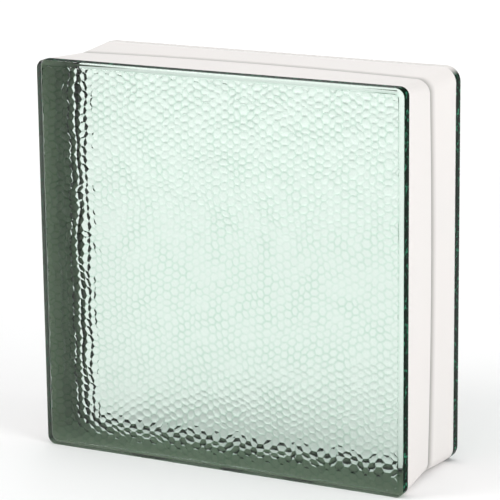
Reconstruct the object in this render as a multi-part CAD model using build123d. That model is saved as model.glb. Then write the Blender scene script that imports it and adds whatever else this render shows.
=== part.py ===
from build123d import *
import os

# A solid glass block: a pebbled panel is sunk in its front face, a groove runs round the middle of its
# sides, and a white coat covers the sides between the two bare glass rims.
# The block stands on its lower edge. X is its width, Z its height, and its front face looks along -Y.

# Whole block
face_size = 240.0            # width and height over the rims
block_depth = 80.0           # from face to face
front_corner_radius = 5.5    # corners of the front face
back_corner_radius = 9.0     # the corners of the back face are rounder
face_edge_radius = 0.5       # rounded edge between a face and its rim

# Panel in the front face, where the pebbles stand
panel_margin = 1.0           # from the side of the block to the top of the slope
panel_slope_width = 1.5      # the raised border slopes down to the panel over this width
panel_recess = 0.5
panel_corner_radius = 3.0    # corners of the panel floor

# Sides
rim_width = 7.0              # bare glass band behind each face
rim_lip = 0.8                # the rim stands this far proud of the side
side_bow = 1.5               # the side is straight at the rim and bows out this much at the groove
groove_place = 41.5          # from the front face to the middle of the groove
groove_corner_radius = 7.5   # corners of the outline beside the groove
lip_radius = 4.0             # rounded lips of the groove
lip_overlap = 0.3            # the lips run into each other by this much

# White coat on the sides
coat_thickness = 0.7

back_groove_place = block_depth - groove_place
side_half = face_size / 2 - rim_lip

# Heights above this plane run from the groove towards the front face.
groove_origin = (0, groove_place - block_depth / 2, face_size / 2)
groove_plane = Plane(origin=groove_origin, x_dir=(1, 0, 0), z_dir=(0, -1, 0))


def square_outline(half, radius, height):
    side = 2 * half
    return groove_plane.offset(height) * RectangleRounded(side, side, radius)


def bowed_outline(half, radius, height):
    end = half - side_bow
    corners = [(end, end), (-end, end), (-end, -end), (end, -end)]
    middles = [(0, half), (-half, 0), (0, -half), (half, 0)]
    next_corners = corners[1:] + corners[:1]
    sides = [ThreePointArc(*points) for points in zip(corners, middles, next_corners)]
    face = make_face(sides)
    return groove_plane.offset(height) * fillet(face.vertices(), radius)


def ruled_blend(low_outline, high_outline):
    return loft([low_outline.face(), high_outline.face()], ruled=True)


def edges_at_groove(solid):
    return solid.edges().group_by(Axis.Y)[-1]


def edges_at_face(solid):
    return solid.edges().group_by(Axis.Y)[0]


def side_body(corner_radius, depth, skin):
    # Grown outwards by a skin: a bowed collar with its lip rounded, then a side that straightens to the rim
    half = side_half + skin
    lip_height = -lip_overlap - skin
    collar_radius = groove_corner_radius + skin
    collar = extrude(bowed_outline(half, collar_radius, lip_height), lip_radius - lip_height)
    collar = fillet(edges_at_groove(collar), lip_radius + skin)
    collar = split(collar, bisect_by=groove_plane, keep=Keep.TOP)
    at_collar = bowed_outline(half, collar_radius, lip_radius)
    at_rim = square_outline(half, corner_radius - rim_lip + skin, depth - rim_width)
    return collar + ruled_blend(at_collar, at_rim)


def rim_plate(corner_radius, depth):
    plate = extrude(square_outline(face_size / 2, corner_radius, depth - rim_width), rim_width)
    return fillet(edges_at_face(plate), face_edge_radius)


def panel():
    top_half = face_size / 2 - panel_margin
    top = square_outline(top_half, panel_corner_radius + panel_slope_width, groove_place)
    floor = square_outline(top_half - panel_slope_width, panel_corner_radius, groove_place - panel_recess)
    return ruled_blend(floor, top)


def half_block(corner_radius, depth):
    return side_body(corner_radius, depth, 0) + rim_plate(corner_radius, depth)


def on_back(solid):
    return mirror(solid, about=groove_plane)


front_half = half_block(front_corner_radius, groove_place) - panel()
back_half = on_back(half_block(back_corner_radius, back_groove_place))
glass_body = front_half + back_half

front_side = side_body(front_corner_radius, groove_place, coat_thickness)
back_side = on_back(side_body(back_corner_radius, back_groove_place, coat_thickness))
edge_coat = front_side + back_side - glass_body

os.makedirs("parts", exist_ok=True)
pieces = {"glass_body": glass_body, "edge_coat": edge_coat}
for name, piece in pieces.items():
    export_step(piece, f"parts/{name}.step")
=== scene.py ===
import bpy
import bmesh
import math
import random
from mathutils import Matrix, Vector


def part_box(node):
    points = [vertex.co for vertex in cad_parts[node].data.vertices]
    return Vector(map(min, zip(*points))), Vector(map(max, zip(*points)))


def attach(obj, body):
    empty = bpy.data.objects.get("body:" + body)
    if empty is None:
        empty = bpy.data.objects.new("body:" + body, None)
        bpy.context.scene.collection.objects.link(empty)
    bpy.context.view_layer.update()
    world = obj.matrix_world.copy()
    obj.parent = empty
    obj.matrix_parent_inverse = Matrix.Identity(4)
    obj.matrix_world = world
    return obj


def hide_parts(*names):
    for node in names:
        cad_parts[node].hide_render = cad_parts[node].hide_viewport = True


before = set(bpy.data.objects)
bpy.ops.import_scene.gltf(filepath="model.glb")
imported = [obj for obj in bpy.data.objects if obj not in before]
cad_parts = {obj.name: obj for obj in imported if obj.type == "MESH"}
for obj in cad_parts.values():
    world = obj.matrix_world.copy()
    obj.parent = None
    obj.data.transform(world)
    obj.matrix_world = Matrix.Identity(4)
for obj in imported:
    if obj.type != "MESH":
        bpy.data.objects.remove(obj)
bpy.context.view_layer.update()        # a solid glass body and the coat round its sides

mm = 0.001

# what the frame gives, in metres
glassLow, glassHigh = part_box("glass_body")
coatLow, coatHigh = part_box("edge_coat")
faceHalf = glassHigh.x
halfDepth = glassHigh.y
middle = (glassLow.z + glassHigh.z) / 2
rimWidth = coatLow.y - glassLow.y        # bare glass behind each face

# sides of the block, shared by the glass and the coat
side = {
    "coat": 0.7 * mm,
    "bow": 1.5 * mm,              # the sides bow out towards the groove
    "groove": 1.5 * mm,           # the groove lies this far behind the middle
    "grooveCorner": 7.5 * mm,     # corner radius beside the groove
    "lip": 4.0 * mm,              # rounded lips of the groove
    "overlap": 0.3 * mm,          # the lips run into each other
    "cornerSteps": 14,
    "sideCuts": 23,
    "lipSteps": 10,
    "lengthSteps": 10,            # rings from the rim to the lip
    "weld": 0.2 * mm,
}
side["half"] = coatHigh.x - side["coat"]
rimLip = faceHalf - side["half"]

# the two ends of the block: corner radius of the face, and its distance from the groove
front = {"corner": 5.5 * mm, "depth": halfDepth + side["groove"]}
back = {"corner": 9.0 * mm, "depth": halfDepth - side["groove"]}


def deselectAll():
    if bpy.context.object and bpy.context.object.mode != "OBJECT":
        bpy.ops.object.mode_set(mode="OBJECT")
    bpy.ops.object.select_all(action="DESELECT")


def pick(*objects):
    deselectAll()
    for obj in objects:
        obj.select_set(True)
    bpy.context.view_layer.objects.active = objects[0]


def edit(obj, kind="FACE"):
    pick(obj)
    bpy.ops.object.mode_set(mode="EDIT")
    bpy.ops.mesh.select_mode(type=kind)
    bpy.ops.mesh.select_all(action="DESELECT")


def done():
    bpy.ops.object.mode_set(mode="OBJECT")


def selectFaces(test):
    cage = bmesh.from_edit_mesh(bpy.context.object.data)
    for face in cage.faces:
        face.select_set(test(face))
    cage.select_flush_mode()
    bmesh.update_edit_mesh(bpy.context.object.data)


def selectEdges(test):
    cage = bmesh.from_edit_mesh(bpy.context.object.data)
    for edge in cage.edges:
        edge.select_set(test(edge))
    bmesh.update_edit_mesh(bpy.context.object.data)


def selectOpenEdges():
    bpy.ops.mesh.select_non_manifold(
        extend=False, use_wire=False, use_boundary=True, use_multi_face=False,
        use_non_contiguous=False, use_verts=False)


def pull(distance):
    bpy.ops.mesh.extrude_region_move(TRANSFORM_OT_translate={"value": (0, distance, 0)})


def roundOver(radius, turn, steps, rise=1):
    # the picked face shrinks and rises along an arc that starts square to it
    for step in range(steps):
        low = turn * step / steps
        high = turn * (step + 1) / steps
        bpy.ops.mesh.inset(
            thickness=radius * (math.cos(low) - math.cos(high)),
            depth=rise * radius * (math.sin(high) - math.sin(low)),
        )


def roundedSquare(name, half, radius, place, facing):
    deselectAll()
    bpy.ops.mesh.primitive_plane_add(
        size=2 * half, location=(0, place, middle), rotation=(-facing * math.pi / 2, 0, 0))
    obj = bpy.context.object
    obj.name = name
    bpy.ops.object.transform_apply(location=True, rotation=True, scale=True)
    edit(obj, "VERT")
    bpy.ops.mesh.select_all(action="SELECT")
    bpy.ops.mesh.bevel(
        offset=radius, offset_type="OFFSET", affect="VERTICES",
        segments=side["cornerSteps"], profile=0.5)
    edit(obj, "EDGE")
    selectEdges(lambda edge: edge.calc_length() > half)
    bpy.ops.mesh.subdivide(number_cuts=side["sideCuts"])
    edit(obj)
    bpy.ops.mesh.select_all(action="SELECT")
    return obj


def sideToGroove(length, skin, rise=1):
    # from the picked face at the rim: straight along the side, then over the lip down into the groove
    radius = side["lip"] + skin
    arcPlace = side["lip"] - side["overlap"]
    for step in range(side["lengthSteps"]):
        pull((length - arcPlace) / side["lengthSteps"])
    roundOver(radius, math.asin(arcPlace / radius), side["lipSteps"], rise)


def shapeSides(obj, cornerRadius, length):
    # straight at the rim; at the groove the corners have another radius and draw in
    core = side["half"] - cornerRadius
    span = side["half"] - side["bow"]
    for vertex in obj.data.vertices:
        x, z = abs(vertex.co.x), abs(vertex.co.z - middle)
        share = min(max((length - abs(vertex.co.y)) / (length - side["lip"]), 0), 1)
        shift = share * (side["grooveCorner"] - cornerRadius)
        if x > core and z > core:
            reach = math.hypot(x - core, z - core)
            grow = (reach + shift) / reach
            newX, newZ = core - shift + (x - core) * grow, core - shift + (z - core) * grow
        elif x > core:
            newX, newZ = x, z * (core - shift) / core
        else:
            newX, newZ = x * (core - shift) / core, z
        drawX = side["bow"] * share * (newZ / span) ** 2 * newX / side["half"]
        drawZ = side["bow"] * share * (newX / span) ** 2 * newZ / side["half"]
        vertex.co.x = math.copysign(newX - drawX, vertex.co.x)
        vertex.co.z = middle + math.copysign(newZ - drawZ, vertex.co.z - middle)


def joinHalves(frontHalf, backHalf):
    # the back half is turned round, both are brought to the groove and welded there
    backHalf.data.transform(Matrix.Rotation(math.pi, 4, "Z"))
    pick(frontHalf, backHalf)
    bpy.ops.object.join()
    frontHalf.data.transform(Matrix.Translation((0, side["groove"], 0)))
    edit(frontHalf, "VERT")
    selectOpenEdges()
    bpy.ops.mesh.remove_doubles(threshold=side["weld"])
    done()


# solid glass body
glass = {
    "edgeRadius": 0.5 * mm,
    "land": 0.4 * mm,            # narrow flat inside the rounded edge
    "edgeSteps": 4,
}

# pebbled panel, sunk in the front face
panel = {
    "slope": 2.6 * mm,           # width of the slope down to the panel
    "recess": 0.42 * mm,
    "slopeRings": 8,
    "pebble": 5.0 * mm,          # from one pebble to the next
    "jitter": 0.18,              # share of the lattice step
    "warp": 2.2 * mm,            # rows wander this far
    "height": 0.4 * mm,
    "tallest": 1.02,             # wide pebbles stand no higher than this reach gives
    "cuts": 2,
    "seed": 7,
}
panel["margin"] = glass["edgeRadius"] + glass["land"] + panel["slope"]
panel["half"] = faceHalf - panel["margin"]
panel["corner"] = front["corner"] - panel["margin"]


def glassHalf(name, end):
    length = end["depth"] - rimWidth
    obj = roundedSquare(name, faceHalf, end["corner"], -length, -1)
    pull(-(rimWidth - glass["edgeRadius"]))
    roundOver(glass["edgeRadius"], math.pi / 2, glass["edgeSteps"])
    bpy.ops.mesh.inset(thickness=glass["land"], depth=0)
    selectFaces(lambda face: face.normal.y > 0.9)
    bpy.ops.mesh.inset(thickness=rimLip, depth=0)
    sideToGroove(length, 0)
    bpy.ops.mesh.delete(type="FACE")
    done()
    shapeSides(obj, end["corner"] - rimLip, length)
    return obj


def sinkPanel(obj):
    # the raised border slopes down to an opening where the pebbles go
    rings = panel["slopeRings"]
    edit(obj)
    selectFaces(lambda face: len(face.verts) > 4)
    for ring in range(rings):
        bpy.ops.mesh.inset(thickness=panel["slope"] / rings, depth=-panel["recess"] / rings)
    bpy.ops.mesh.delete(type="FACE")
    done()


def onPanel(u, v):
    # from a square to a square with rounded corners
    way = max(abs(u), abs(v))
    place = side["groove"] - front["depth"] + panel["recess"]
    if way == 0:
        return Vector((0, place, middle))
    radius = panel["corner"] * way / panel["half"]
    straight = way - radius
    along = min(abs(u), abs(v)) / way * (straight + radius * math.pi / 4)
    if along <= straight:
        main, cross = way, along
    else:
        turn = (along - straight) / radius
        main, cross = straight + radius * math.cos(turn), straight + radius * math.sin(turn)
    if abs(u) < abs(v):
        main, cross = cross, main
    return Vector((math.copysign(main, u), place, middle + math.copysign(cross, v)))


def honeycomb():
    # a lattice of triangles; cutting its corners by a third leaves six-sided cells
    half = panel["half"]
    step = panel["pebble"] * math.sqrt(3)
    columns = round(2 * half / step)
    rows = round(2 * half / (step * math.sqrt(3) / 2))
    deselectAll()
    bpy.ops.mesh.primitive_grid_add(x_subdivisions=columns, y_subdivisions=rows, size=2 * half)
    obj = bpy.context.object
    draw = random.Random(panel["seed"])
    columnStep = 2 * half / columns
    rowStep = 2 * half / rows
    inside = half - 0.1 * rowStep
    for vertex in obj.data.vertices:
        u, v = vertex.co.x, vertex.co.y
        row = round((v + half) / rowStep)
        slipU = draw.uniform(-1, 1) * panel["jitter"] * columnStep
        slipV = draw.uniform(-1, 1) * panel["jitter"] * columnStep
        quarter = columnStep / 4 if row % 2 else -columnStep / 4
        fade = math.cos(math.pi / 2 * u / half) * math.cos(math.pi / 2 * v / half)
        wanderU = panel["warp"] * math.sin(v / half * 7.1 + u / half * 2.3 + 0.7) * fade
        wanderV = panel["warp"] * math.sin(u / half * 6.3 - v / half * 1.9 + 2.1) * fade
        if abs(u) < inside:
            vertex.co.x = u + slipU + quarter + wanderU
        if abs(v) < inside:
            vertex.co.y = v + slipV + wanderV
    edit(obj)
    bpy.ops.mesh.select_all(action="SELECT")
    bpy.ops.mesh.quads_convert_to_tris(quad_method="SHORTEST_DIAGONAL")
    bpy.ops.mesh.bevel(
        offset_type="PERCENT", offset_pct=100 / 3, affect="VERTICES", segments=1, clamp_overlap=False)
    done()
    return obj


def edgeLength(mesh, edge):
    first, second = edge.vertices
    return (mesh.vertices[first].co - mesh.vertices[second].co).length


def markPebbles(obj):
    # a middle point for each cell, which says how high its pebble stands
    mesh = obj.data
    corners = len(mesh.vertices)
    edit(obj)
    bpy.ops.mesh.select_all(action="SELECT")
    bpy.ops.mesh.poke()
    done()
    dome = mesh.attributes.new("dome", "FLOAT", "POINT")
    lift = mesh.attributes.new("lift", "FLOAT", "POINT")
    reach = [0.0] * len(mesh.vertices)
    for edge in mesh.edges:
        low, high = sorted(edge.vertices)
        if low < corners <= high:
            reach[high] = max(reach[high], edgeLength(mesh, edge))
    fullReach = panel["pebble"] / math.sqrt(3)
    for index in range(corners, len(mesh.vertices)):
        dome.data[index].value = 1
        lift.data[index].value = panel["height"] * min(reach[index] / fullReach, panel["tallest"]) ** 2
    edit(obj)
    bpy.ops.mesh.select_all(action="SELECT")
    bpy.ops.mesh.subdivide(number_cuts=panel["cuts"], ngon=True, quadcorner="INNERVERT")
    done()


def makePebbles():
    obj = honeycomb()
    markPebbles(obj)
    mesh = obj.data
    for vertex in mesh.vertices:
        lift = mesh.attributes["lift"].data[vertex.index].value
        dome = mesh.attributes["dome"].data[vertex.index].value
        vertex.co = onPanel(vertex.co.x, vertex.co.y) + Vector((0, -lift * (2 - dome), 0))
    mesh.attributes.remove(mesh.attributes["lift"])
    mesh.attributes.remove(mesh.attributes["dome"])
    pick(obj)
    bpy.ops.object.shade_smooth_by_angle(angle=math.radians(10))
    return obj


def makeGlass():
    obj = glassHalf("glassBlock", front)
    backHalf = glassHalf("backHalf", back)
    sinkPanel(obj)
    joinHalves(obj, backHalf)
    bpy.ops.object.shade_smooth_by_angle(angle=math.radians(20))
    pebbles = makePebbles()
    pick(obj, pebbles)
    bpy.ops.object.join()
    edit(obj, "EDGE")
    selectOpenEdges()
    bpy.ops.mesh.bridge_edge_loops()
    bpy.ops.mesh.select_all(action="SELECT")
    bpy.ops.mesh.normals_make_consistent(inside=False)
    done()
    for face in obj.data.polygons:
        face.use_smooth = True
    return obj


# white coat, from rim to rim
coat = {
    "bond": 0.05 * mm,        # it has soaked into the glass by this much
}


def coatHalf(name, end):
    # outside from the rim to the groove, then back from the rim along the glass
    length = end["depth"] - rimWidth
    cornerRadius = end["corner"] - rimLip
    obj = roundedSquare(name, side["half"] + side["coat"], cornerRadius + side["coat"], -length, 1)
    sideToGroove(length, side["coat"])
    bpy.ops.mesh.delete(type="FACE")
    selectFaces(lambda face: len(face.verts) > 4)
    bpy.ops.mesh.inset(thickness=side["coat"] + coat["bond"], depth=0)
    cage = bmesh.from_edit_mesh(obj.data)
    rise = next(face.normal.y for face in cage.faces if face.select)
    sideToGroove(length, -coat["bond"], math.copysign(1, rise))
    bpy.ops.mesh.delete(type="FACE")
    done()
    shapeSides(obj, cornerRadius, length)
    for vertex in obj.data.vertices:
        if vertex.co.y < 1e-6 - length:
            vertex.co.y = -length - coat["bond"]
    return obj


def makeCoat():
    obj = coatHalf("sideCoat", front)
    joinHalves(obj, coatHalf("backCoat", back))
    edit(obj)
    bpy.ops.mesh.select_all(action="SELECT")
    bpy.ops.mesh.normals_make_consistent(inside=False)
    done()
    bpy.ops.object.shade_smooth_by_angle(angle=math.radians(20))
    return obj


class Wire:
    def __init__(self, tree, socket=None):
        self.tree = tree
        self.socket = socket

    def node(self, kind, settings=None, inputs=None, out=0):
        made = self.tree.nodes.new(kind)
        for key, value in (settings or {}).items():
            if key == "stops":
                self.setStops(made.color_ramp, value)
            else:
                setattr(made, key, value)
        for key, value in (inputs or {}).items():
            if isinstance(value, Wire):
                self.tree.links.new(value.socket, made.inputs[key])
            else:
                made.inputs[key].default_value = value
        return Wire(self.tree, made.outputs[out]) if made.outputs else made

    def setStops(self, ramp, stops):
        while len(ramp.elements) < len(stops):
            ramp.elements.new(0.5)
        for element, (place, tone) in zip(ramp.elements, stops):
            element.position = place
            element.color = (*tone, 1)

    def calc(self, operation, first, second):
        return self.node("ShaderNodeMath", {"operation": operation}, {0: first, 1: second})

    def __add__(self, other):
        return self.calc("ADD", self, other)

    def __radd__(self, other):
        return self.calc("ADD", other, self)

    def __sub__(self, other):
        return self.calc("SUBTRACT", self, other)

    def __rsub__(self, other):
        return self.calc("SUBTRACT", other, self)

    def __mul__(self, other):
        return self.calc("MULTIPLY", self, other)

    def __rmul__(self, other):
        return self.calc("MULTIPLY", other, self)

    def mix(self, first, second):
        return self.node(
            "ShaderNodeMix", {"data_type": "RGBA"}, {0: self, 6: first, 7: second}, out=2)


def newMaterial(name):
    material = bpy.data.materials.new(name)
    material.use_nodes = True
    material.node_tree.nodes.clear()
    return material, Wire(material.node_tree)


def colour(red, green, blue):
    return (red, green, blue, 1)


# faintly green glass, with painted shade between the pebbles
glassLook = {
    "absorb": colour(0.06, 0.58, 0.28),
    "density": 3.2,        # per metre
    "ior": 1.47,
    "smear": 0.02,                             # roughness where it is wiped
    "clear": colour(1, 1, 1),
    "creaseShade": colour(0.64, 0.78, 0.70),        # painted shade between the pebbles
    "creaseHeight": 0.3 * mm,
    "creaseEnd": 0.1 * mm,                     # no painted shade this far behind the panel
    "patchGain": 2.2,
    "patchCut": 0.4,
}


def glassMaterial():
    material, wire = newMaterial("greenGlass")
    place = wire.node("ShaderNodeTexCoord", out="Object")
    smear = wire.node(
        "ShaderNodeTexNoise", {}, {"Vector": place, "Scale": 22.0, "Detail": 3.0, "Roughness": 0.6})
    drawn = wire.node("ShaderNodeTexNoise", {}, {"Vector": place, "Scale": 28.0, "Detail": 1.0})
    wave = wire.node(
        "ShaderNodeBump", {}, {"Strength": 0.05, "Distance": 0.0006, "Height": drawn})
    rough = glassLook["smear"] * wire.node(
        "ShaderNodeValToRGB", {"stops": [(0.52, (0, 0, 0)), (0.8, (1, 1, 1))]}, {"Fac": smear})
    depth = wire.node("ShaderNodeSeparateXYZ", {}, {"Vector": place}, out="Y")
    foot = panel["recess"] - halfDepth
    # painted shade in the hollows between the pebbles, made patchy by noise
    creaseShade = wire.node(
        "ShaderNodeMapRange", {"interpolation_type": "SMOOTHSTEP"},
        {"Value": depth, "From Min": foot - glassLook["creaseHeight"], "From Max": foot})
    patchy = wire.node("ShaderNodeTexNoise", {}, {"Vector": place, "Scale": 90.0, "Detail": 2.0})
    creaseShade = creaseShade * wire.calc("LESS_THAN", depth, foot + glassLook["creaseEnd"])
    creaseShade = creaseShade * (glassLook["patchGain"] * patchy - glassLook["patchCut"])
    surface = wire.node("ShaderNodeBsdfPrincipled", {}, {
        "Base Color": creaseShade.mix(glassLook["clear"], glassLook["creaseShade"]),
        "Roughness": rough,
        "IOR": glassLook["ior"],
        "Transmission Weight": 1.0,
        "Normal": wave,
    })
    tint = wire.node("ShaderNodeVolumeAbsorption", {}, {
        "Color": glassLook["absorb"], "Density": glassLook["density"]})
    wire.node("ShaderNodeOutputMaterial", {}, {"Surface": surface, "Volume": tint})
    return material


# bare rims, painted nearly black as shade, as thick glass looks when seen edge on
rimLook = {
    "dark": colour(0.002, 0.010, 0.005),
    "fleck": colour(0.03, 0.20, 0.11),
    "pale": colour(0.34, 0.43, 0.32),         # painted light on the front rim below, and less on the left
    "paleReach": 4.0 * mm,
    "leftShift": 2.4 * mm,
    "backTopTone": colour(0.77, 0.74, 0.72),        # coat-coloured towards the top of the back rim
    "backTopReach": 5.0 * mm,
    "rough": 0.1,
    "chipRough": 0.3,
    "shine": 0.02,
    "steepest": 0.5,                          # a rim face looks less than this along the depth
}


def rimMaterial():
    material, wire = newMaterial("rimGlass")
    place = wire.node("ShaderNodeTexCoord", out="Object")
    chips = wire.node("ShaderNodeTexNoise", {}, {"Vector": place, "Scale": 420.0, "Detail": 2.0})
    flecks = wire.node(
        "ShaderNodeValToRGB", {"stops": [(0.56, (0, 0, 0)), (0.72, (1, 1, 1))]}, {"Fac": chips})
    across = wire.node("ShaderNodeSeparateXYZ", {}, {"Vector": place}, out="X")
    depth = wire.node("ShaderNodeSeparateXYZ", {}, {"Vector": place}, out="Y")
    height = wire.node("ShaderNodeSeparateXYZ", {}, {"Vector": place}, out="Z")
    # painted light: paler near the bottom and the left of the front rim
    nearLeft = across - glassLow.x + rimLook["leftShift"]
    nearLeftOrLow = wire.calc("MINIMUM", nearLeft, height - glassLow.z)
    leftOrLow = wire.node(
        "ShaderNodeMapRange", {"interpolation_type": "SMOOTHSTEP"},
        {"Value": nearLeftOrLow, "From Min": rimLook["paleReach"], "From Max": 0.0})
    leftOrLow = leftOrLow * wire.calc("LESS_THAN", depth, 0)
    # coat-coloured towards the top of the back rim
    backTopTone = wire.node(
        "ShaderNodeMapRange", {"interpolation_type": "SMOOTHSTEP"},
        {"Value": height, "From Min": glassHigh.z - rimLook["backTopReach"], "From Max": glassHigh.z})
    backTopTone = backTopTone * wire.calc("GREATER_THAN", depth, 0)
    tone = flecks.mix(leftOrLow.mix(rimLook["dark"], rimLook["pale"]), rimLook["fleck"])
    surface = wire.node("ShaderNodeBsdfPrincipled", {}, {
        "Base Color": backTopTone.mix(tone, rimLook["backTopTone"]),
        "Roughness": rimLook["rough"] + rimLook["chipRough"] * chips,
        "Specular IOR Level": rimLook["shine"],
    })
    wire.node("ShaderNodeOutputMaterial", {}, {"Surface": surface})
    return material


# sprayed white coat, satin, with painted shade along the groove and a bond where it meets the glass,
# painted dark as shade
coatLook = {
    "white": colour(0.79, 0.75, 0.73),
    "cool": colour(0.76, 0.745, 0.725),
    # painted shade in and behind the groove
    "groove": colour(0.38, 0.37, 0.355),
    "grooveReach": 2.8 * mm,                   # painted shade on both sides of the groove
    "shadeReach": 6.0 * mm,                    # and further out behind it
    "rough": 0.42,
    "cloudRough": 0.16,
    # painted shade: the coat's underside against the glass is coloured dark
    "bond": colour(0.17, 0.22, 0.155),
    "bondPaintedLight": colour(0.38, 0.47, 0.33),
    "bondPaintedShade": colour(0.015, 0.025, 0.015),
    "bondLightBelow": colour(0.50, 0.60, 0.46),       # painted light along the bottom of the block
    "cloudShare": 0.3,
    "rimShare": 0.85,
    "paleCut": 0.1,
    "darkFrom": 8.0 * mm,                      # painted shade from here to the back rim
    "lowFrom": 10.0 * mm,
    "lowTo": 2.0 * mm,
    "lowShare": 0.6,
    "outwardShare": 0.3,                       # faces that look outwards less than this get the painted bond shade
}


def coatMaterial():
    material, wire = newMaterial("whiteCoat")
    place = wire.node("ShaderNodeTexCoord", out="Object")
    cloud = wire.node("ShaderNodeTexNoise", {}, {"Vector": place, "Scale": 16.0, "Detail": 4.0})
    grain = wire.node("ShaderNodeTexNoise", {}, {"Vector": place, "Scale": 900.0, "Detail": 2.0})
    depth = wire.node("ShaderNodeSeparateXYZ", {}, {"Vector": place}, out="Y")
    # painted shade: darker in the groove, and further out behind it
    fromGroove = wire.calc("ABSOLUTE", depth - side["groove"], 0)
    grooveShade = wire.node(
        "ShaderNodeMapRange", {"interpolation_type": "SMOOTHSTEP"},
        {"Value": fromGroove, "From Min": coatLook["grooveReach"], "From Max": 0.0})
    shadeBehindGroove = wire.node(
        "ShaderNodeMapRange", {"interpolation_type": "SMOOTHSTEP"},
        {"Value": depth - side["groove"], "From Min": coatLook["shadeReach"], "From Max": 0.0})
    shadeBehindGroove = shadeBehindGroove * wire.calc("GREATER_THAN", depth, side["groove"])
    tone = (0.5 * grooveShade + 0.5 * shadeBehindGroove).mix(
        cloud.mix(coatLook["white"], coatLook["cool"]), coatLook["groove"])
    peel = wire.node("ShaderNodeBump", {}, {"Strength": 0.25, "Distance": 0.0001, "Height": grain})
    surface = wire.node("ShaderNodeBsdfPrincipled", {}, {
        "Base Color": tone,
        "Roughness": coatLook["rough"] + coatLook["cloudRough"] * cloud,
        "Normal": peel,
    })
    wire.node("ShaderNodeOutputMaterial", {}, {"Surface": surface})
    return material


def bondShadeMaterial():
    # the coat's underside, painted dark as shade: painted light towards the rims and the bottom,
    # painted shade towards the back, with a random cloud
    material, wire = newMaterial("coatBondShade")
    place = wire.node("ShaderNodeTexCoord", out="Object")
    cloud = wire.node("ShaderNodeTexNoise", {}, {"Vector": place, "Scale": 60.0, "Detail": 5.0})
    depth = wire.node("ShaderNodeSeparateXYZ", {}, {"Vector": place}, out="Y")
    rimwardLight = wire.node(
        "ShaderNodeMapRange", {"clamp": True},
        {"Value": wire.calc("ABSOLUTE", depth, 0), "From Min": 0.0, "From Max": halfDepth - rimWidth})
    rearwardShade = wire.node(
        "ShaderNodeMapRange", {"interpolation_type": "SMOOTHSTEP"},
        {"Value": depth, "From Min": coatLook["darkFrom"], "From Max": halfDepth - rimWidth})
    pale = coatLook["cloudShare"] * cloud + coatLook["rimShare"] * rimwardLight - coatLook["paleCut"]
    tone = pale.mix(coatLook["bond"], coatLook["bondPaintedLight"])
    height = wire.node("ShaderNodeSeparateXYZ", {}, {"Vector": place}, out="Z")
    low = wire.node("ShaderNodeMapRange", {}, {
        "Value": height, "From Min": coatLook["lowFrom"], "From Max": coatLook["lowTo"],
        "To Max": coatLook["lowShare"]})
    tone = rearwardShade.mix(low.mix(tone, coatLook["bondLightBelow"]), coatLook["bondPaintedShade"])
    surface = wire.node("ShaderNodeBsdfPrincipled", {}, {
        "Base Color": tone,
        "Roughness": 0.8,
        "Specular IOR Level": 0.0,
    })
    wire.node("ShaderNodeOutputMaterial", {}, {"Surface": surface})
    return material


# pieces
glassBlock = makeGlass()
print("glass", len(glassBlock.data.polygons))
sideCoat = makeCoat()
print("coat", len(sideCoat.data.polygons))

glassBlock.data.materials.append(glassMaterial())
glassBlock.data.materials.append(rimMaterial())
rimStart = halfDepth - rimWidth - 0.01 * mm
for face in glassBlock.data.polygons:
    onRim = abs(face.center.y) > rimStart and abs(face.normal.y) < rimLook["steepest"]
    face.material_index = 1 if onRim else 0
sideCoat.data.materials.append(coatMaterial())
sideCoat.data.materials.append(bondShadeMaterial())
# faces against the glass get the painted bond shade
for face in sideCoat.data.polygons:
    outward = face.center - Vector((0, face.center.y, middle))
    inner = face.normal.dot(outward) < coatLook["outwardShare"] * outward.length
    face.material_index = 1 if inner else 0

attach(glassBlock, "root")
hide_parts("glass_body")
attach(sideCoat, "root")
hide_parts("edge_coat")

# studio
studio = {
    "floorSize": 8.0,
    "floorTone": colour(0.92, 0.92, 0.92),
    "skyLow": 0.12,                 # at the horizon
    "skyHigh": 1.25,                # added overhead
    "glow": 0.9,                    # added in a low band round the horizon
    "glowHeight": 0.2,
}

# soft lamps: one over the floor behind the block, one on its right, one at the front on its left
lamps = {
    "floorLamp": {"place": (-0.7, 1.5, 0.9), "aim": (-0.7, 1.5, 0), "size": 0.8, "power": 4.5},
    "sideLamp": {"place": (1.7, -0.3, 1.0), "aim": (0, 0, 0.12), "size": 1.4, "power": 17.0},
    "keyLamp": {"place": (-1.1, -0.9, 1.3), "aim": (0, 0, 0.1), "size": 0.8, "power": 10.0},
}


def makeFloor():
    deselectAll()
    bpy.ops.mesh.primitive_plane_add(size=studio["floorSize"])
    floor = bpy.context.object
    floor.name = "floor"
    material, wire = newMaterial("paleFloor")
    surface = wire.node("ShaderNodeBsdfPrincipled", {}, {
        "Base Color": studio["floorTone"], "Roughness": 0.9, "Specular IOR Level": 0.1})
    wire.node("ShaderNodeOutputMaterial", {}, {"Surface": surface})
    floor.data.materials.append(material)


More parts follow.
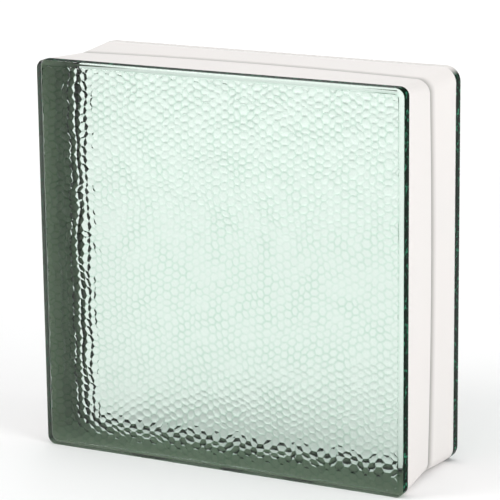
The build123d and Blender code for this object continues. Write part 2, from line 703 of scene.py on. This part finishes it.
def makeSky():
    world = bpy.data.worlds.new("studioSky")
    bpy.context.scene.world = world
    world.use_nodes = True
    world.node_tree.nodes.clear()
    wire = Wire(world.node_tree)
    ray = wire.node("ShaderNodeTexCoord", out="Generated")
    height = wire.node("ShaderNodeSeparateXYZ", {}, {"Vector": ray}, out="Z")
    glow = wire.node(
        "ShaderNodeMapRange", {"interpolation_type": "SMOOTHSTEP"},
        {"Value": height, "From Min": studio["glowHeight"], "From Max": 0.0})
    height = wire.calc("MAXIMUM", height, 0)
    sky = wire.node("ShaderNodeBackground", {}, {
        "Color": colour(1, 1, 1),
        "Strength": studio["skyLow"] + studio["skyHigh"] * height * height + studio["glow"] * glow,
    })
    wire.node("ShaderNodeOutputWorld", {}, {"Surface": sky})


# camera, fitted to the edges of the block in the photo
shot = {
    "azimuth": math.radians(27.70),
    "elevation": math.radians(14.18),
    "roll": math.radians(-0.66),
    "distance": 1.5777,
    "lens": 189.6,
    "shift": (0.0037, 0.0207),
}


def makeCamera():
    deselectAll()
    bpy.ops.object.camera_add()
    camera = bpy.context.object
    camera.name = "photoCamera"
    turn, rise, roll = shot["azimuth"], shot["elevation"], shot["roll"]
    away = Vector((math.sin(turn) * math.cos(rise), -math.cos(turn) * math.cos(rise), math.sin(rise)))
    level = Vector((math.cos(turn), math.sin(turn), 0))
    up = away.cross(level)
    right = level * math.cos(roll) + up * math.sin(roll)
    up = away.cross(right)
    pose = Matrix((right, up, away)).transposed().to_4x4()
    pose.translation = Vector((0, 0, middle)) + away * shot["distance"]
    camera.matrix_world = pose
    camera.data.sensor_width = 36.0
    camera.data.lens = shot["lens"]
    camera.data.shift_x, camera.data.shift_y = shot["shift"]
    camera.data.clip_end = 100.0
    bpy.context.scene.camera = camera


def makeLamps():
    for name, lamp in lamps.items():
        deselectAll()
        bpy.ops.object.light_add(type="AREA", location=lamp["place"])
        obj = bpy.context.object
        obj.name = name
        aim = Vector(lamp["aim"]) - Vector(lamp["place"])
        obj.rotation_euler = aim.to_track_quat("-Z", "Y").to_euler()
        obj.data.shape = "DISK"
        obj.data.size = lamp["size"]
        obj.data.energy = lamp["power"]


makeFloor()
makeSky()
makeLamps()
makeCamera()

scene = bpy.context.scene
scene.view_settings.view_transform = "Standard"
scene.cycles.max_bounces = 32
scene.cycles.transmission_bounces = 32
scene.cycles.diffuse_bounces = 6
scene.cycles.glossy_bounces = 12
